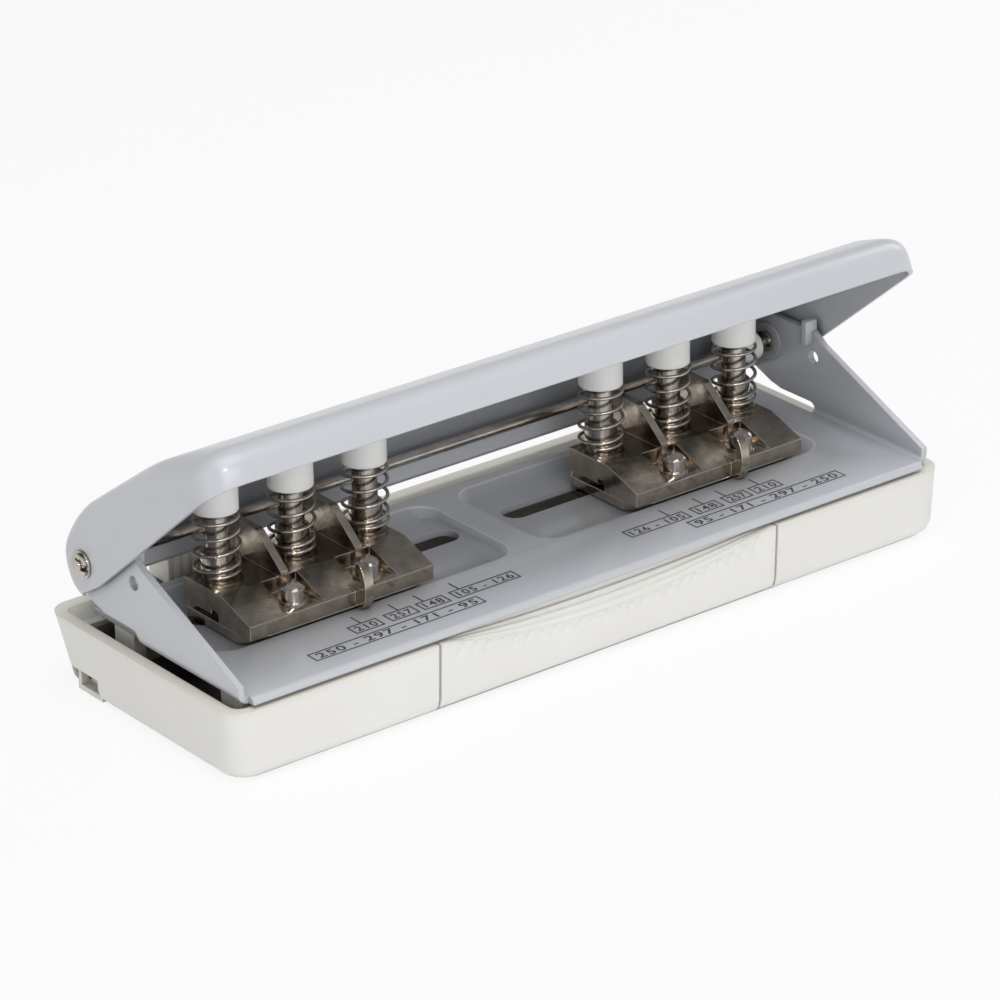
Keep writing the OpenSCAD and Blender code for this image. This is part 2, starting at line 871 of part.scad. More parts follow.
module die(k) color(nickel) at_head(k) {
    difference() {
        union() {
            along_head(pitch + head_left, pitch + head_right)
                polygon([[-head_front + die_foot, die_z], [-head_front, die_top - die_face_h],
                    [-head_front, die_top], [die_rear, die_top], [die_rear, die_z]]);
            translate([pitch, 0, die_z])
                cylinder(h = die_top - die_z, r = end_boss_r);
        }
        for (x = [-pitch - head_left, pitch + head_right]) {
            translate([x, die_rear, die_z - overrun])
                rotate([0, 0, 45])
                    cube([2 * die_corner, 2 * die_corner, 2 * head_h], center = true);
            translate([x, -head_front, die_z - overrun])
                rotate([0, 0, 45])
                    cube([2 * die_nose_cut, 2 * die_nose_cut, 2 * head_h], center = true);
        }
        for (x = [-pitch, 0, pitch])
            translate([x, 0, die_z - overrun])
                cylinder(h = head_h, r = pin_bore_r);
        for (x = [rivet_x - pitch / 2, rivet_x + pitch / 2])
            translate([x, rivet_y, die_z - overrun])
                cylinder(h = head_h, r = rivet_shank_r + rivet_seat);
    }
}

module keeper(k) color(steel) at_head(k) {
    top = recess_z - sheet_t - slide_gap;
    half = pitch + keeper_over;
    difference() {
        box([-half, -keeper_w / 2, top - keeper_t], [half, keeper_w / 2, top]);
        for (x = [-pitch, 0, pitch])
            translate([x, 0, top - keeper_t - overrun])
                cylinder(h = keeper_t + 2 * overrun, r = keeper_hole_r);
    }
    for (x = [-pitch / 2, pitch / 2])
        box([x - lug_l / 2, -slot_w / 2 + slide_gap, top - keeper_t],
            [x + lug_l / 2, slot_w / 2 - slide_gap, die_z]);
}

module rivet(i) color(steel) {
    k = i <= 2 ? 0 : 1;
    side = i % 2 == 1 ? -1 : 1;
    dome = rivet_d / 4;
    dome_r = (rivet_d * rivet_d / 4 + dome * dome) / (2 * dome);
    at_head(k)
        translate([rivet_x + side * pitch / 2, rivet_y, 0]) {
            translate([0, 0, die_z])
                cylinder(h = pocket_z - die_z, r = rivet_shank_r);
            translate([0, 0, pocket_z])
                cylinder(h = rivet_flange_t, r = rivet_d / 2 + rivet_flange_w);
            translate([0, 0, pocket_z])
                cylinder(h = rivet_h - dome, r = rivet_d / 2);
            translate([0, 0, pocket_z + rivet_h - dome])
                rotate_extrude()
                    intersection() {
                        translate([0, dome - dome_r])
                            circle(dome_r);
                        square([rivet_d / 2, dome]);
                    }
        }
}

module bushing(i) color(steel) at_row() {
    translate([pin_x(i), 0, head_top])
        difference() {
            cylinder(h = bushing_h, r = bushing_d / 2);
            translate([0, 0, -overrun])
                cylinder(h = bushing_h + 2 * overrun, r = pin_bore_r);
        }
}

// Punch pin with a hollow-ground cutting end
module pin(i) color(steel) at_row() {
    low = throat_top + pin_low;
    translate([pin_x(i), 0, low])
        difference() {
            cylinder(h = cap_z - low + pin_in_cap, r = pin_d / 2);
            translate([0, 0, pin_notch_depth - pin_notch_r])
                rod(2 * pin_d, pin_notch_r);
        }
}

module cap(i) color(white) at_row() {
    dome_r = (cap_d * cap_d / 4 + cap_dome * cap_dome) / (2 * cap_dome);
    translate([pin_x(i), 0, cap_z])
        difference() {
            union() {
                cylinder(h = cap_h, r = cap_d / 2);
                translate([0, 0, cap_h])
                    rotate_extrude()
                        intersection() {
                            translate([0, cap_dome - dome_r])
                                circle(dome_r, $fn = 128);
                            square([cap_d / 2, cap_dome]);
                        }
            }
            translate([0, 0, -overrun])
                cylinder(h = overrun + pin_in_cap, r = pin_bore_r);
        }
}

// Spring wire: a straight end, closed turns, open turns, a closed turn and a straight end
coil_r = (spring_d - wire_d) / 2;
coil_pitch = wire_d + coil_gap;
coil_rise = spring_l - 2 * spring_seat - 2 * wire_d;
turns = closed_turns_low + open_turns + closed_turns_high;
open_pitch = (coil_rise - (closed_turns_low + closed_turns_high) * coil_pitch) / open_turns;
function coil_z(t) = t < closed_turns_low ? t * coil_pitch
    : t < closed_turns_low + open_turns ? closed_turns_low * coil_pitch + (t - closed_turns_low) * open_pitch
    : coil_rise - (turns - t) * coil_pitch;
coil_points = [for (s = [0:turns * ring_steps]) let (t = s / ring_steps)
    [coil_r * cos(360 * t + spring_turn), coil_r * sin(360 * t + spring_turn), spring_seat + wire_d + coil_z(t)]];
last_point = coil_points[len(coil_points) - 1];
wire_points = concat([coil_points[0] - [0, 0, wire_d]], coil_points, [last_point + [0, 0, wire_d]]);
wire_last = len(wire_points) - 1;

function unit(v) = v / norm(v);
function heading(k) = unit((k == wire_last ? [0, 0, 0] : unit(wire_points[k + 1] - wire_points[k]))
    + (k == 0 ? [0, 0, 0] : unit(wire_points[k] - wire_points[k - 1])));
function outward(k) = unit([wire_points[k].x, wire_points[k].y, 0]);
function wire_ring(k) =
    let (along = heading(k), side = unit(outward(k) - along * (outward(k) * along)), up = cross(along, side))
    [for (s = [0:tube_sides - 1]) wire_points[k]
        + wire_d / 2 * (cos(360 * s / tube_sides) * side + sin(360 * s / tube_sides) * up)];

module spring(i) color(steel) at_row() {
    skin = [for (k = [0:wire_last]) each wire_ring(k)];
    walls = [for (k = [0:wire_last - 1], s = [0:tube_sides - 1])
        let (a = k * tube_sides + s, b = k * tube_sides + (s + 1) % tube_sides)
        each [[a, a + tube_sides, b], [b, a + tube_sides, b + tube_sides]]];
    low_end = [for (s = [1:tube_sides - 2]) [0, s, s + 1]];
    top = wire_last * tube_sides;
    high_end = [for (s = [1:tube_sides - 2]) [top, top + s + 1, top + s]];
    translate([pin_x(i), 0, head_top])
        polyhedron(points = skin, faces = concat(walls, low_end, high_end));
}

// Least gap between turns, measured between points at least three quarters of a turn apart
apart = ring_steps * 3 / 4;
wire_gap = min([for (a = [0:wire_last - apart], b = [a + apart:wire_last])
    norm(wire_points[a] - wire_points[b])]) - wire_d;
echo(spring_least_gap = wire_gap);

tray();
latch_tab();
paper_guide();
base_frame();
edge_stop();
rear_bar();
hinge_shaft();
ring(-ring_out_x - ring_t);  // ring_1
ring(-ring_in_x - ring_t);  // ring_2
ring(ring_in_x);  // ring_3
ring(ring_out_x);  // ring_4
washer(-washer_x - washer_t);  // washer_1
washer(washer_x);  // washer_2
shaft_roller();
lever();
lever_pad();
for (k = [0, 1]) {
    head(k);
    die(k);
    keeper(k);
}
for (i = [1:4])
    rivet(i);
for (i = pin_index) {
    bushing(i);
    pin(i);
    cap(i);
    spring(i);
}
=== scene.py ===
"""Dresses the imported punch: materials, round spring wire, the lever's rounded cover, scale
prints, floor, light and camera. Lengths are in mm, and MM turns them into the scene's metres.
The floor and the lamps are given in metres."""

import json
import math

import bpy
import mathutils.geometry
from mathutils import Matrix, Vector


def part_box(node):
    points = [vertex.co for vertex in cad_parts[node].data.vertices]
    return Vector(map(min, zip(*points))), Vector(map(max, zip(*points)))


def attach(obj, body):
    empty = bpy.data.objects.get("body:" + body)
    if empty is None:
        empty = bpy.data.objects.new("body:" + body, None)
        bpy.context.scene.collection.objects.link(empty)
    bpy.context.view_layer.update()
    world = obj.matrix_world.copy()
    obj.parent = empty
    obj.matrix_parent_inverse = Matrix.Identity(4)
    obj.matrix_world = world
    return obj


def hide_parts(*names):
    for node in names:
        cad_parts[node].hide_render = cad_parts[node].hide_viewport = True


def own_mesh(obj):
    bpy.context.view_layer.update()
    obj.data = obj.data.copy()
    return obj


MM = 0.001
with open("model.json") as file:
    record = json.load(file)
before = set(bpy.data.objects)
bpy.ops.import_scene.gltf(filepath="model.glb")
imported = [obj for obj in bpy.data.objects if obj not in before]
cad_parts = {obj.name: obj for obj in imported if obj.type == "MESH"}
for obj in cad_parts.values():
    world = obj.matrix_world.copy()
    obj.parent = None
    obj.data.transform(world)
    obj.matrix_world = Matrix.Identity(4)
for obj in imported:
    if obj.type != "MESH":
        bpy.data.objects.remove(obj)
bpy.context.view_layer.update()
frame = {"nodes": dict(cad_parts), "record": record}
nodes = frame["nodes"]
record = frame["record"]


# Camera, solved from the photograph's edges

AZIMUTH, ELEVATION, ROLL = math.radians(-37.632), math.radians(24.086), math.radians(-1.181)
AIM = Vector((0, 7.8, 18.62))
SIDE_SHIFT, UP_SHIFT, DISTANCE = 3.29, 2.945, 1042.468
SENSOR, LENS = 36, 174.52
CLIP = (0.05, 20)


def place_camera():
    back = Vector((math.sin(AZIMUTH) * math.cos(ELEVATION),
                   -math.cos(AZIMUTH) * math.cos(ELEVATION), math.sin(ELEVATION)))
    right = (-back).cross(Vector((0, 0, 1))).normalized()
    up = right.cross(-back)
    side = right * math.cos(ROLL) + up * math.sin(ROLL)
    top = up * math.cos(ROLL) - right * math.sin(ROLL)
    place = AIM * MM + (side * SIDE_SHIFT + top * UP_SHIFT + back * DISTANCE) * MM
    data = bpy.data.cameras.new("camera")
    data.sensor_width = SENSOR
    data.lens = LENS
    data.clip_start, data.clip_end = CLIP
    camera = bpy.data.objects.new("camera", data)
    bpy.context.scene.collection.objects.link(camera)
    turn = Matrix((side, top, back)).transposed().to_4x4()
    camera.matrix_world = Matrix.Translation(place) @ turn
    bpy.context.scene.camera = camera


place_camera()


# Materials

BEVEL_SAMPLES = 6
OCCLUSION_SAMPLES = 12
EDGE_FLAT, EDGE_FULL = 0.999, 0.9       # cosine between the flat and the rounded normal
TRAY_INWARD, TRAY_OUTWARD = 18, 28      # dot of place and normal, on inner and outer faces


class Graph:
    """A short way to write a material's nodes."""

    def __init__(self, name):
        self.material = bpy.data.materials.new(name)
        self.material.use_nodes = True
        self.tree = self.material.node_tree
        self.tree.nodes.clear()
        self.shader = self.add("ShaderNodeBsdfPrincipled")
        out = self.add("ShaderNodeOutputMaterial")
        self.link(self.shader.outputs[0], out.inputs["Surface"])
        self.where = self.add("ShaderNodeTexCoord").outputs["Object"]

    def add(self, kind, **values):
        node = self.tree.nodes.new(kind)
        for name, value in values.items():
            setattr(node, name, value)
        return node

    def link(self, a, b):
        self.tree.links.new(a, b)

    def feed(self, socket, value):
        """Sets a number or a colour on the socket, or links another node's output to it."""
        if isinstance(value, tuple):
            socket.default_value = (*value, 1)
        elif isinstance(value, (int, float)):
            socket.default_value = value
        else:
            self.link(value, socket)

    def noise(self, scale, detail, rough=0.55):
        node = self.add("ShaderNodeTexNoise")
        node.inputs["Scale"].default_value = scale
        node.inputs["Detail"].default_value = detail
        node.inputs["Roughness"].default_value = rough
        self.link(self.where, node.inputs["Vector"])
        return node.outputs["Fac"]

    def ramp(self, source, low, high, a, b):
        """source between low and high becomes a value or colour between a and b."""
        if isinstance(a, tuple):
            return self.mix(self.ramp(source, low, high, 0.0, 1.0), a, b)
        node = self.add("ShaderNodeMapRange", clamp=True)
        for name, value in (("From Min", low), ("From Max", high), ("To Min", a), ("To Max", b)):
            node.inputs[name].default_value = value
        self.link(source, node.inputs["Value"])
        return node.outputs["Result"]

    def mix(self, share, a, b, blend="MIX"):
        node = self.add("ShaderNodeMix", data_type="RGBA", blend_type=blend)
        self.feed(node.inputs["Factor"], share)
        self.feed(node.inputs[6], a)
        self.feed(node.inputs[7], b)
        return node.outputs[2]

    def math(self, operation, a, b):
        node = self.add("ShaderNodeMath", operation=operation)
        self.feed(node.inputs[0], a)
        self.feed(node.inputs[1], b)
        return node.outputs[0]

    def both(self, a, b):
        return self.math("MULTIPLY", a, b)

    def either(self, a, b):
        return self.math("MAXIMUM", a, b)

    def dot(self, a, b):
        node = self.add("ShaderNodeVectorMath", operation="DOT_PRODUCT")
        self.link(a, node.inputs[0])
        self.link(b, node.inputs[1])
        return node.outputs["Value"]

    def normal(self):
        return self.add("ShaderNodeNewGeometry").outputs["Normal"]

    def edge(self, radius):
        """1 near an edge of the solid, 0 on its flats, with the rounded normal."""
        bevel = self.add("ShaderNodeBevel", samples=BEVEL_SAMPLES)
        bevel.inputs["Radius"].default_value = radius
        turned = self.dot(bevel.outputs[0], self.normal())
        return self.ramp(turned, EDGE_FLAT, EDGE_FULL, 0.0, 1.0), bevel.outputs[0]

    def inward(self):
        """1 on faces that look up or towards the middle of the tray, 0 on its outer walls."""
        facing = self.dot(self.where, self.normal())
        return self.ramp(facing, TRAY_INWARD * MM, TRAY_OUTWARD * MM, 1.0, 0.0)

    def painted_shade(self, colour, distance, low, high, shade_tint, place=None):
        """The colour with painted shade: darkened towards the shade colour where the surface is
        shut in and place is 1.
        """
        shade = self.add("ShaderNodeAmbientOcclusion", samples=OCCLUSION_SAMPLES)
        shade.inputs["Distance"].default_value = distance
        shut = self.ramp(shade.outputs["AO"], low, high, 1.0, 0.0)
        if place is not None:
            shut = self.both(shut, place)
        return self.mix(shut, colour, self.mix(1.0, colour, shade_tint, "MULTIPLY"))

    def along(self, axis):
        split = self.add("ShaderNodeSeparateXYZ")
        self.link(self.where, split.inputs[0])
        return split.outputs[axis]

    def band(self, axis, start, end):
        """0 at the coordinate start and 1 at end."""
        values = (0.0, 1.0) if start < end else (1.0, 0.0)
        return self.ramp(self.along(axis), min(start, end) * MM, max(start, end) * MM, *values)

    def bump(self, source, strength, distance, normal=None):
        node = self.add("ShaderNodeBump")
        node.inputs["Strength"].default_value = strength
        node.inputs["Distance"].default_value = distance
        self.link(source, node.inputs["Height"])
        if normal is not None:
            self.link(normal, node.inputs["Normal"])
        return node.outputs[0]

    def finish(self, colour, roughness, normal, **constants):
        self.link(colour, self.shader.inputs["Base Color"])
        self.link(roughness, self.shader.inputs["Roughness"])
        self.link(normal, self.shader.inputs["Normal"])
        for name, value in constants.items():
            self.shader.inputs[name.replace("_", " ")].default_value = value
        return self.material


# Bands of the tray and the plate: an axis, the coordinate where each starts and where it is full

# Where the tray's walls turn warmer and darker towards their top.
TRAY_RIM = (14.6, 16.3)
# The tray's bands that follow place its painted shade.
TRAY_FLOOR = ("Z", 3, 4)
TRAY_DEPTH = ("Z", 13.5, 9)
TRAY_FRONT = ("Y", -32, -31)
TRAY_WALLS = (("X", -93.3, -92.5), ("X", 93.3, 92.5), ("Y", -31.2, -30.8), ("Y", 26, 24))
BESIDE_GUIDE, OVER_GUIDE, BEFORE_GUIDE = ("X", -89, -87), ("Z", 7, 7.5), ("Y", 13, 12)
# The plate's bands place the painted shade of its recesses.
PLATE, RECESS = ("Y", -22, -18), ("Z", 18.4, 16.6)
# These bands place a painted highlight line along the brink of the recesses.
HIGHLIGHT_FOOT, HIGHLIGHT_TOP = ("Z", 18.1, 18.35), ("Z", 18.58, 18.5)


def ivory_plastic():
    g = Graph("ivory_plastic")
    body = g.ramp(g.noise(26, 3), 0.35, 0.7, (0.875, 0.868, 0.838), (0.845, 0.834, 0.796))
    # Warmer and darker towards the top of the tray's walls.
    rim = g.ramp(g.along("Z"), TRAY_RIM[0] * MM, TRAY_RIM[1] * MM, 0.0, 0.55)
    rim_toned = g.mix(rim, body, (0.80, 0.765, 0.665))
    edge, rounded = g.edge(0.45 * MM)
    colour = g.mix(g.both(edge, 0.35), rim_toned, (0.90, 0.893, 0.865))
    rough = g.ramp(g.noise(170, 3), 0.3, 0.7, 0.36, 0.5)
    grain = g.bump(g.noise(2600, 2), 0.10, 0.03 * MM, rounded)
    # Painted shade inside the tray: its floor and deep inside, away from the guide, go towards near
    # black where shut in.
    inward = g.both(g.inward(), g.band(*TRAY_FRONT))
    inside = g.band(*TRAY_FLOOR)
    for wall in TRAY_WALLS:
        inside = g.both(inside, g.band(*wall))
    deep = g.both(g.either(inside, inward), g.band(*TRAY_DEPTH))
    no_guide = g.either(g.band(*BESIDE_GUIDE), g.either(g.band(*OVER_GUIDE), g.band(*BEFORE_GUIDE)))
    floor_shade = g.painted_shade(colour, 20 * MM, 0.45, 0.95, (0.13, 0.108, 0.09), g.both(deep, no_guide))
    shaded = g.painted_shade(floor_shade, 10 * MM, 0.1, 0.7, (0.62, 0.565, 0.50), inward)
    return g.finish(shaded, rough, grain, Specular_IOR_Level=0.45)


def grey_paint():
    g = Graph("grey_paint")
    body = g.ramp(g.noise(14, 2), 0.35, 0.7, (0.590, 0.606, 0.640), (0.566, 0.583, 0.618))
    edge, rounded = g.edge(0.5 * MM)
    chips = g.both(edge, g.ramp(g.noise(420, 4), 0.56, 0.66, 0.15, 0.7))
    colour = g.mix(chips, body, (0.66, 0.675, 0.695))
    rough = g.ramp(g.noise(240, 3), 0.3, 0.7, 0.30, 0.40)
    peel = g.bump(g.noise(900, 2), 0.07, 0.05 * MM, rounded)
    plate = g.band(*PLATE)
    recess = g.both(g.band(*RECESS), plate)
    # Painted highlight: a pale line along the brink of the plate's recesses.
    highlight_line = g.both(g.both(g.band(*HIGHLIGHT_FOOT), g.band(*HIGHLIGHT_TOP)), plate)
    highlit_colour = g.mix(g.both(highlight_line, 0.75), colour, (0.86, 0.87, 0.885))
    # Painted shade: the plate's recesses darker, standing in for the lever's shadow and the dark
    # reflection of its underside.
    recess_shade = g.mix(recess, highlit_colour, (0.49, 0.502, 0.528))
    shaded = g.painted_shade(recess_shade, 9 * MM, 0.1, 0.85, (0.34, 0.34, 0.35))
    return g.finish(shaded, rough, peel, Specular_IOR_Level=0.5, Coat_Weight=0.35,
                    Coat_Roughness=0.16)


def nickel():
    g = Graph("nickel")
    body = g.ramp(g.noise(300, 5, 0.65), 0.35, 0.68, (0.50, 0.435, 0.365), (0.34, 0.29, 0.238))
    edge, rounded = g.edge(0.3 * MM)
    # Bright edges: worn nickel with a painted highlight.
    colour = g.mix(g.both(edge, 0.8), body, (0.86, 0.83, 0.79))
    rough = g.ramp(g.noise(380, 4), 0.3, 0.75, 0.10, 0.26)
    swell = g.bump(g.noise(260, 2), 0.35, 0.16 * MM, rounded)
    cast = g.bump(g.noise(1700, 3), 0.42, 0.05 * MM, swell)
    return g.finish(colour, rough, cast, Metallic=1.0)


def bright_steel():
    g = Graph("bright_steel")
    body = g.ramp(g.noise(300, 3), 0.3, 0.75, (0.57, 0.53, 0.485), (0.37, 0.335, 0.295))
    edge, rounded = g.edge(0.15 * MM)
    colour = g.mix(g.both(edge, 0.6), body, (0.80, 0.79, 0.77))
    rough = g.ramp(g.noise(700, 3), 0.3, 0.75, 0.12, 0.28)
    drawn = g.bump(g.noise(900, 3), 0.08, 0.03 * MM, rounded)
    return g.finish(colour, rough, drawn, Metallic=1.0)


def white_plastic():
    g = Graph("white_plastic")
    body = g.ramp(g.noise(220, 3), 0.35, 0.7, (0.90, 0.898, 0.88), (0.87, 0.866, 0.84))
    edge, rounded = g.edge(0.6 * MM)
    colour = g.mix(g.both(edge, 0.3), body, (0.91, 0.908, 0.895))
    rough = g.ramp(g.noise(500, 3), 0.3, 0.7, 0.30, 0.42)
    skin = g.bump(g.noise(1800, 2), 0.08, 0.03 * MM, rounded)
    return g.finish(colour, rough, skin, Specular_IOR_Level=0.45)


def print_ink():
    g = Graph("print_ink")
    colour = g.ramp(g.noise(900, 4), 0.35, 0.7, (0.045, 0.045, 0.05), (0.08, 0.08, 0.085))
    rough = g.ramp(g.noise(600, 2), 0.3, 0.7, 0.45, 0.6)
    return g.finish(colour, rough, g.bump(g.noise(2500, 2), 0.05, 0.01 * MM))


MATERIALS = {
    "ivory_plastic": ivory_plastic(),
    "grey_paint": grey_paint(),
    "nickel": nickel(),
    "bright_steel": bright_steel(),
    "white_plastic": white_plastic(),
}
INK = print_ink()
SLOT_OF = {part["node"]: part["material_slot"] for part in record["subparts"]}

# Smooth shading

WELD_DISTANCE = 0.002
SHARP_ANGLE = math.radians(34)


def soft_edges():
    """Welds the imported faces and shades them smooth up to the sharp angle."""
    group = bpy.data.node_groups.new("soft_edges", "GeometryNodeTree")
    for way in ("INPUT", "OUTPUT"):
        group.interface.new_socket("Geometry", in_out=way, socket_type="NodeSocketGeometry")
    start = group.nodes.new("NodeGroupInput")
    weld = group.nodes.new("GeometryNodeMergeByDistance")
    weld.inputs["Distance"].default_value = WELD_DISTANCE * MM
    faces = group.nodes.new("GeometryNodeSetShadeSmooth")
    edges = group.nodes.new("GeometryNodeSetShadeSmooth")
    edges.domain = "EDGE"
    edges.inputs["Shade Smooth"].default_value = False
    angle = group.nodes.new("GeometryNodeInputMeshEdgeAngle")
    sharp = group.nodes.new("FunctionNodeCompare")
    sharp.operation = "GREATER_THAN"
    sharp.inputs[1].default_value = SHARP_ANGLE
    end = group.nodes.new("NodeGroupOutput")
    join = group.links.new
    join(start.outputs[0], weld.inputs["Geometry"])
    join(weld.outputs[0], faces.inputs["Geometry"])
    join(faces.outputs[0], edges.inputs["Geometry"])
    join(angle.outputs["Unsigned Angle"], sharp.inputs[0])
    join(sharp.outputs[0], edges.inputs["Selection"])
    join(edges.outputs[0], end.inputs[0])
    return group


SOFT = soft_edges()
for name, part in nodes.items():
    part.data.materials.clear()
    part.data.materials.append(MATERIALS[SLOT_OF[name]])
    shading = part.modifiers.new("soft_edges", "NODES")
    shading.node_group = SOFT


def add_piece(name, points, faces, material, body, smooth=True):
    mesh = bpy.data.meshes.new(name)
    mesh.from_pydata(points, [], faces)
    mesh.validate()
    if smooth:
        mesh.shade_smooth()
    else:
        mesh.shade_flat()
    mesh.materials.append(material)
    piece = bpy.data.objects.new(name, mesh)
    bpy.context.scene.collection.objects.link(piece)
    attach(piece, body)
    return piece


# Springs: the same wound form as in the solids, in round wire

WIRE_R = 0.4
COIL_R = 4.8
LENGTH = 14.6
GAP = 0.45
LOW_TURNS, OPEN_TURNS, HIGH_TURNS = 1, 3, 0.75
TURNS = LOW_TURNS + OPEN_TURNS + HIGH_TURNS
START = math.radians(215)
HEAD_TOP = 25.6
SEAT = 0.1
STEPS = 40
SIDES = 14
PINS, PINS_PER_HEAD = 6, 3


def coil_height(turn):
    tight = 2 * WIRE_R + GAP
    rise = LENGTH - 2 * SEAT - 4 * WIRE_R
    wide = (rise - (LOW_TURNS + HIGH_TURNS) * tight) / OPEN_TURNS
    if turn < LOW_TURNS:
        return turn * tight
    if turn < LOW_TURNS + OPEN_TURNS:
        return LOW_TURNS * tight + (turn - LOW_TURNS) * wide
    return rise - (TURNS - turn) * tight


def wire_line():
    """The middle of the wire: the winding between two straight ends."""
    line = []
    for step in range(round(TURNS * STEPS) + 1):
        turn = step / STEPS
        around = 2 * math.pi * turn + START
        line.append(Vector((COIL_R * math.cos(around), COIL_R * math.sin(around),
                            SEAT + 2 * WIRE_R + coil_height(turn))))
    foot = Vector((0, 0, 2 * WIRE_R))
    return [line[0] - foot] + line + [line[-1] + foot]


def wire_mesh(x, y):
    line = wire_line()
    points, faces = [], []
    last = len(line) - 1
    for k, at in enumerate(line):
        ahead = (line[min(k + 1, last)] - line[max(k - 1, 0)]).normalized()
        outward = Vector((at.x, at.y, 0)).normalized()
        side = (outward - ahead * outward.dot(ahead)).normalized()
        up = ahead.cross(side)
        for s in range(SIDES):
            a = 2 * math.pi * s / SIDES
            rim = at + (side * math.cos(a) + up * math.sin(a)) * WIRE_R
            points.append(((x + rim.x) * MM, (y + rim.y) * MM, (HEAD_TOP + rim.z) * MM))
    for k in range(last):
        for s in range(SIDES):
            a, b = k * SIDES + s, k * SIDES + (s + 1) % SIDES
            faces.append((a, a + SIDES, b + SIDES, b))
    faces.append(tuple(range(SIDES)))
    faces.append(tuple(last * SIDES + s for s in reversed(range(SIDES))))
    return points, faces


for i in range(1, PINS + 1):
    low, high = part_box(f"pin_{i}")
    middle = (low + high) / 2 / MM
    points, faces = wire_mesh(middle.x, middle.y)
    body = "left_head" if i <= PINS_PER_HEAD else "right_head"
    wire = add_piece(f"spring_wire_{i}", points, faces, MATERIALS["bright_steel"], body)
    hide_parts(f"spring_{i}")
    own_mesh(wire)


# Press lever: the sheet of the solids with its pressed roundings run out over the corners.
# Its side view is drawn about the shaft, with y towards the rear and z up, and then tilted.

REACH, ROOF, SHEET, HALF = 59.0, 10.5, 1.0, 94.6
TILT = math.radians(35.1)
SHAFT_Y, SHAFT_Z = 20.0, 30.8
CREST_R, CROWN_R, CROWN_U = 5.0, 80.0, 32.2
HEEL_R, HEEL_V, REAR_U = 7.8, -5.8, 12.0
HEEL_TURN = 5                           # degrees, and below it the cover's back is open
LIP, FOLD_V = (-57.8, -1.7), 1.6
HEEL_FLAT = (-2.3, HEEL_V)              # where the lower edge of a flange bends
CREST_STEPS, CROWN_STEPS, REAR_STEPS, HEEL_STEPS, OPEN_ROWS = 14, 16, 12, 10, 8
CORNER_Y, CORNER_R = -50.0, 9.0
FRONT_BLEND, REAR_BLEND, HEEL_BLEND = (-40, -52), (-20, -12), (2.0, -5.5)
EDGE_R, REAR_LESS, HEEL_LESS, FRONT_MORE = 3.4, 1.4, 1.2, 1.4
BENDS, SPANS = 8, 12
SHAFT_HOLE, HOLE_STEPS = 1.32, 24


def ease(low, high, value):
    t = min(max((value - low) / (high - low), 0.0), 1.0)
    return t * t * (3 - 2 * t)


def lever_profile():
    """Points from the lip over the roof to the heel, each with its outward direction."""
    span = REACH - CREST_R - CROWN_U
    crown = (-CROWN_U, ROOF - CROWN_R)
    crest = (-REACH + CREST_R, crown[1] + math.sqrt((CROWN_R - CREST_R) ** 2 - span ** 2))
    tilt = math.degrees(math.asin(span / (CROWN_R - CREST_R)))
    rear_r = (REAR_U ** 2 + ROOF ** 2 - HEEL_R ** 2) / (2 * (ROOF - HEEL_R))
    heel = math.degrees(math.atan2(rear_r - ROOF, REAR_U))
    heel_end = math.degrees(math.asin(HEEL_V / HEEL_R))
    line = [(*LIP, -1.0, 0.0), (-REACH, FOLD_V, -1.0, 0.0)]
    arcs = ((crest, CREST_R, 180, 90 + tilt, CREST_STEPS),
            (crown, CROWN_R, 90 + tilt, 90, CROWN_STEPS),
            ((-REAR_U, ROOF - rear_r), rear_r, 90, heel, REAR_STEPS),
            ((0, 0), HEEL_R, heel, HEEL_TURN, HEEL_STEPS),
            ((0, 0), HEEL_R, HEEL_TURN, heel_end, OPEN_ROWS))
    for centre, radius, start, end, steps in arcs:
        for k in range(steps + 1):
            if k == 0 and line[-1][0] != -REACH:
                continue
            a = math.radians(start + (end - start) * k / steps)
            line.append((centre[0] + radius * math.cos(a), centre[1] + radius * math.sin(a),
                         math.cos(a), math.sin(a)))
    return line


def rounding(k, y, z, ny, nz):
    """How far the end rounding reaches along x, and how far it draws the profile in."""
    front = ease(*FRONT_BLEND, y)
    rear = ease(*REAR_BLEND, y)
    heel = ease(*HEEL_BLEND, z) if y > 0 else 0.0
    edge = EDGE_R - REAR_LESS * rear - HEEL_LESS * heel
    reach_x = edge + (CORNER_R - edge) * front
    dy = max(-ny * edge, CORNER_Y - y)
    dz = -(edge + FRONT_MORE * front) * max(nz, 0.0) if y < 0 else -edge * nz
    if k == 0:
        dz = (CORNER_Y - LIP[0]) * (HEEL_FLAT[1] - LIP[1]) / (HEEL_FLAT[0] - LIP[0])
    return reach_x, dy, dz


def to_world(x, y, z):
    return (x * MM, (SHAFT_Y + y * math.cos(TILT) + z * math.sin(TILT)) * MM,
            (SHAFT_Z - y * math.sin(TILT) + z * math.cos(TILT)) * MM)


def cover_row(k, y, z, ny, nz):
    """One row of points from the left flange over the roof to the right flange."""
    reach_x, dy, dz = rounding(k, y, z, ny, nz)
    bend = []
    for step in range(BENDS, -1, -1):
        phi = math.pi / 2 * step / BENDS
        bend.append((HALF - reach_x * (1 - math.sin(phi)), y + dy * (1 - math.cos(phi)),
                     z + dz * (1 - math.cos(phi))))
    inner = bend[-1][0]
    row = [(-x, a, b) for x, a, b in bend]
    row += [(-inner + 2 * inner * (step / SPANS), y, z) for step in range(1, SPANS)]
    return row + bend[::-1]


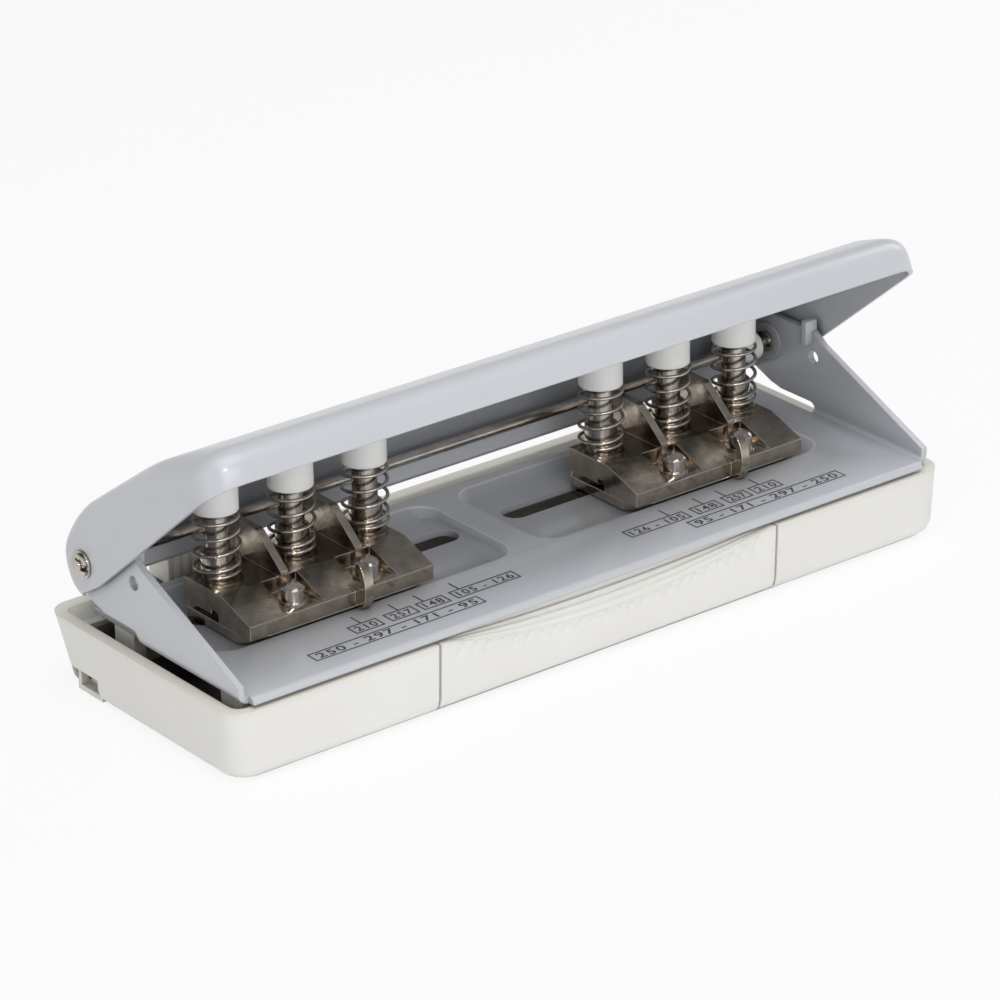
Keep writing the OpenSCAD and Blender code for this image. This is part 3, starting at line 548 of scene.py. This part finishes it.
def close_end(points, faces, sign, ring):
    """The flat flange inside one end's ring of points, with the hole for the shaft."""
    corner = len(points)
    points.append(to_world(sign * HALF, *HEEL_FLAT))
    hole = []
    for k in range(HOLE_STEPS):
        a = 2 * math.pi * k / HOLE_STEPS
        hole.append(len(points))
        points.append(to_world(sign * HALF, SHAFT_HOLE * math.cos(a), SHAFT_HOLE * math.sin(a)))
    loops = [ring + [corner], hole]
    order = loops[0] + loops[1]
    outlines = [[Vector(points[i]) for i in loop] for loop in loops]
    for triangle in mathutils.geometry.tessellate_polygon(outlines):
        a, b, c = (order[i] for i in triangle)
        first, second, third = (Vector(points[i]) for i in (a, b, c))
        turn = (second - first).cross(third - first)
        faces.append((a, b, c) if turn.x * sign > 0 else (a, c, b))


def lever_cover():
    rows = [cover_row(k, *at) for k, at in enumerate(lever_profile())]
    points = [to_world(*at) for row in rows for at in row]
    faces = []
    width = len(rows[0])
    last = len(rows) - 1
    for k in range(last):
        for c in range(width - 1):
            if k >= last - OPEN_ROWS and BENDS <= c < width - 1 - BENDS:
                continue
            a = k * width + c
            faces.append((a, a + 1, a + 1 + width, a + width))
    for sign, column in ((-1, 0), (1, width - 1)):
        close_end(points, faces, sign, [k * width + column for k in range(last + 1)])
    cover = add_piece("lever_cover", points, faces, MATERIALS["grey_paint"], "lever")
    sheet = cover.modifiers.new("sheet", "SOLIDIFY")
    sheet.thickness = SHEET * MM
    sheet.offset = -1
    sheet.use_even_offset = True
    soft = cover.modifiers.new("soft_edges", "NODES")
    soft.node_group = SOFT
    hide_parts("lever")


lever_cover()


# Scale prints on the plate: plain outlines, ticks and page heights in millimetres

ROW = 7.8
PLATE_TOP = 18.6
LIFT = 0.02
LINE = 0.4
BOX_LOW, BOX_HIGH, BOX_SIDE = -30.2, -26.4, 1.1
LONG_LOW, LONG_HIGH, LONG_SIDE = -35.2, -31.5, 1.4
DIGITS_LOW, DIGITS_HIGH = (-29.5, -34.5), (-27.2, -32.2)
TICK_TOP = -22.9
DIGIT_WEIGHT, DIGIT_SPACE = 0.02, 1.18


def bar(points, faces, x0, y0, x1, y1):
    z = PLATE_TOP + LIFT
    first = len(points)
    for x, y in ((x0, y0), (x1, y0), (x1, y1), (x0, y1)):
        points.append((x * MM, (y + ROW) * MM, z * MM))
    faces.append((first, first + 1, first + 2, first + 3))


def outline(points, faces, x0, y0, x1, y1):
    bar(points, faces, x0, y0, x1, y0 + LINE)
    bar(points, faces, x0, y1 - LINE, x1, y1)
    bar(points, faces, x0, y0 + LINE, x0 + LINE, y1 - LINE)
    bar(points, faces, x1 - LINE, y0 + LINE, x1, y1 - LINE)


def letters(points, faces, words, x0, y0, x1, y1):
    """Plain digits, stretched to fill the box."""
    curve = bpy.data.curves.new("digits", "FONT")
    curve.body = words
    curve.size = 1
    curve.offset = DIGIT_WEIGHT
    curve.space_character = DIGIT_SPACE
    holder = bpy.data.objects.new("digits", curve)
    bpy.context.scene.collection.objects.link(holder)
    bpy.context.view_layer.update()
    ready = bpy.context.evaluated_depsgraph_get()
    mesh = bpy.data.meshes.new_from_object(holder.evaluated_get(ready))
    xs = [v.co.x for v in mesh.vertices]
    ys = [v.co.y for v in mesh.vertices]
    first = len(points)
    for v in mesh.vertices:
        x = x0 + (v.co.x - min(xs)) / (max(xs) - min(xs)) * (x1 - x0)
        y = y0 + (v.co.y - min(ys)) / (max(ys) - min(ys)) * (y1 - y0)
        points.append((x * MM, (y + ROW) * MM, (PLATE_TOP + LIFT) * MM))
    faces.extend(tuple(first + k for k in face.vertices) for face in mesh.polygons)
    bpy.data.objects.remove(holder)
    bpy.data.meshes.remove(mesh)
    bpy.data.curves.remove(curve)


def prints(name, boxes, long_box, ticks):
    """One recess's prints: each box is its words and its two sides, each tick its middle."""
    points, faces = [], []
    for words, x0, x1 in boxes:
        outline(points, faces, x0, BOX_LOW, x1, BOX_HIGH)
        letters(points, faces, words, x0 + BOX_SIDE, DIGITS_LOW[0], x1 - BOX_SIDE, DIGITS_HIGH[0])
    words, x0, x1 = long_box
    outline(points, faces, x0, LONG_LOW, x1, LONG_HIGH)
    letters(points, faces, words, x0 + LONG_SIDE, DIGITS_LOW[1], x1 - LONG_SIDE, DIGITS_HIGH[1])
    for x in ticks:
        bar(points, faces, x - LINE / 2, BOX_HIGH, x + LINE / 2, TICK_TOP)
    piece = add_piece(name, points, faces, INK, "frame", smooth=False)


prints("print_left",
       [("210", -56.6, -49.2), ("257", -47.4, -40.2), ("148", -39.1, -32.0),
        ("105 - 126", -30.4, -13.7)],
       ("250 - 297 - 171 - 95", -70.3, -26.8), (-52.9, -43.4, -36.8, -27.5))
prints("print_right",
       [("126 - 105", 16.2, 33.0), ("148", 34.8, 42.1), ("257", 43.7, 50.4),
        ("210", 51.5, 59.0)],
       ("95 - 171 - 297 - 250", 29.9, 72.6), (29.5, 39.0, 45.4, 54.9))


# Floor, light and world: places and sizes of the lamps in metres, power in watts

FLOOR_HALF = 6
FLOOR_WHITE = 0.90
FLOOR_GLOW = 0.86
SKY_LOW, SKY_HIGH = 0.05, 0.45
SKY_BRIGHT, SKY_DIM = 1.0, 0.30
LAMP_AIM = (0, 0, 0.03)


def stage_floor():
    """A pale floor, shown paler to the camera and in reflections, that keeps its shadow."""
    mesh = bpy.data.meshes.new("floor")
    h = FLOOR_HALF
    mesh.from_pydata([(-h, -h, 0), (h, -h, 0), (h, h, 0), (-h, h, 0)], [], [(0, 1, 2, 3)])
    floor = bpy.data.objects.new("floor", mesh)
    bpy.context.scene.collection.objects.link(floor)
    material = bpy.data.materials.new("floor")
    material.use_nodes = True
    tree = material.node_tree
    tree.nodes.clear()
    join = tree.links.new
    out = tree.nodes.new("ShaderNodeOutputMaterial")
    diffuse = tree.nodes.new("ShaderNodeBsdfDiffuse")
    diffuse.inputs["Color"].default_value = (FLOOR_WHITE, FLOOR_WHITE, FLOOR_WHITE, 1)
    glow = tree.nodes.new("ShaderNodeEmission")
    glow.inputs["Color"].default_value = (1, 1, 1, 1)
    path = tree.nodes.new("ShaderNodeLightPath")
    seen = path.outputs["Is Camera Ray"]
    for ray in ("Is Glossy Ray", "Is Transmission Ray"):
        most = tree.nodes.new("ShaderNodeMath")
        most.operation = "MAXIMUM"
        join(seen, most.inputs[0])
        join(path.outputs[ray], most.inputs[1])
        seen = most.outputs[0]
    share = tree.nodes.new("ShaderNodeMath")
    share.operation = "MULTIPLY"
    share.inputs[1].default_value = FLOOR_GLOW
    mix = tree.nodes.new("ShaderNodeMixShader")
    join(seen, share.inputs[0])
    join(share.outputs[0], mix.inputs[0])
    join(diffuse.outputs[0], mix.inputs[1])
    join(glow.outputs[0], mix.inputs[2])
    join(mix.outputs[0], out.inputs["Surface"])
    mesh.materials.append(material)


def stage_world():
    """A soft sky, bright at the horizon and dim above."""
    world = bpy.data.worlds.new("world")
    world.use_nodes = True
    bpy.context.scene.world = world
    tree = world.node_tree
    tree.nodes.clear()
    out = tree.nodes.new("ShaderNodeOutputWorld")
    sky = tree.nodes.new("ShaderNodeBackground")
    where = tree.nodes.new("ShaderNodeTexCoord")
    split = tree.nodes.new("ShaderNodeSeparateXYZ")
    ramp = tree.nodes.new("ShaderNodeMapRange")
    ramp.inputs["From Min"].default_value = SKY_LOW
    ramp.inputs["From Max"].default_value = SKY_HIGH
    ramp.inputs["To Min"].default_value = SKY_BRIGHT
    ramp.inputs["To Max"].default_value = SKY_DIM
    join = tree.links.new
    join(where.outputs["Generated"], split.inputs[0])
    join(split.outputs["Z"], ramp.inputs["Value"])
    join(ramp.outputs[0], sky.inputs["Strength"])
    join(sky.outputs[0], out.inputs["Surface"])


def lamp(name, place, size, power, glossy_only=False):
    data = bpy.data.lights.new(name, "AREA")
    data.shape = "RECTANGLE"
    data.size, data.size_y = size
    data.energy = power
    light = bpy.data.objects.new(name, data)
    bpy.context.scene.collection.objects.link(light)
    light.visible_diffuse = not glossy_only
    light.location = place
    light.rotation_mode = "QUATERNION"
    light.rotation_quaternion = (Vector(place) - Vector(LAMP_AIM)).to_track_quat("Z", "Y")


stage_floor()
stage_world()
lamp("top", (-0.1, -0.25, 0.95), (0.9, 0.7), 5.0)
lamp("left", (-0.85, -0.15, 0.42), (0.25, 0.6), 0.5)
lamp("glint", (-0.42, -0.62, 0.62), (0.10, 0.10), 2.0, glossy_only=True)
lamp("front", (-0.25, -1.0, 0.5), (0.9, 0.35), 3.0)
lamp("right", (0.9, 0.1, 0.6), (0.3, 0.7), 1.6)

bpy.context.scene.view_settings.view_transform = "Standard"
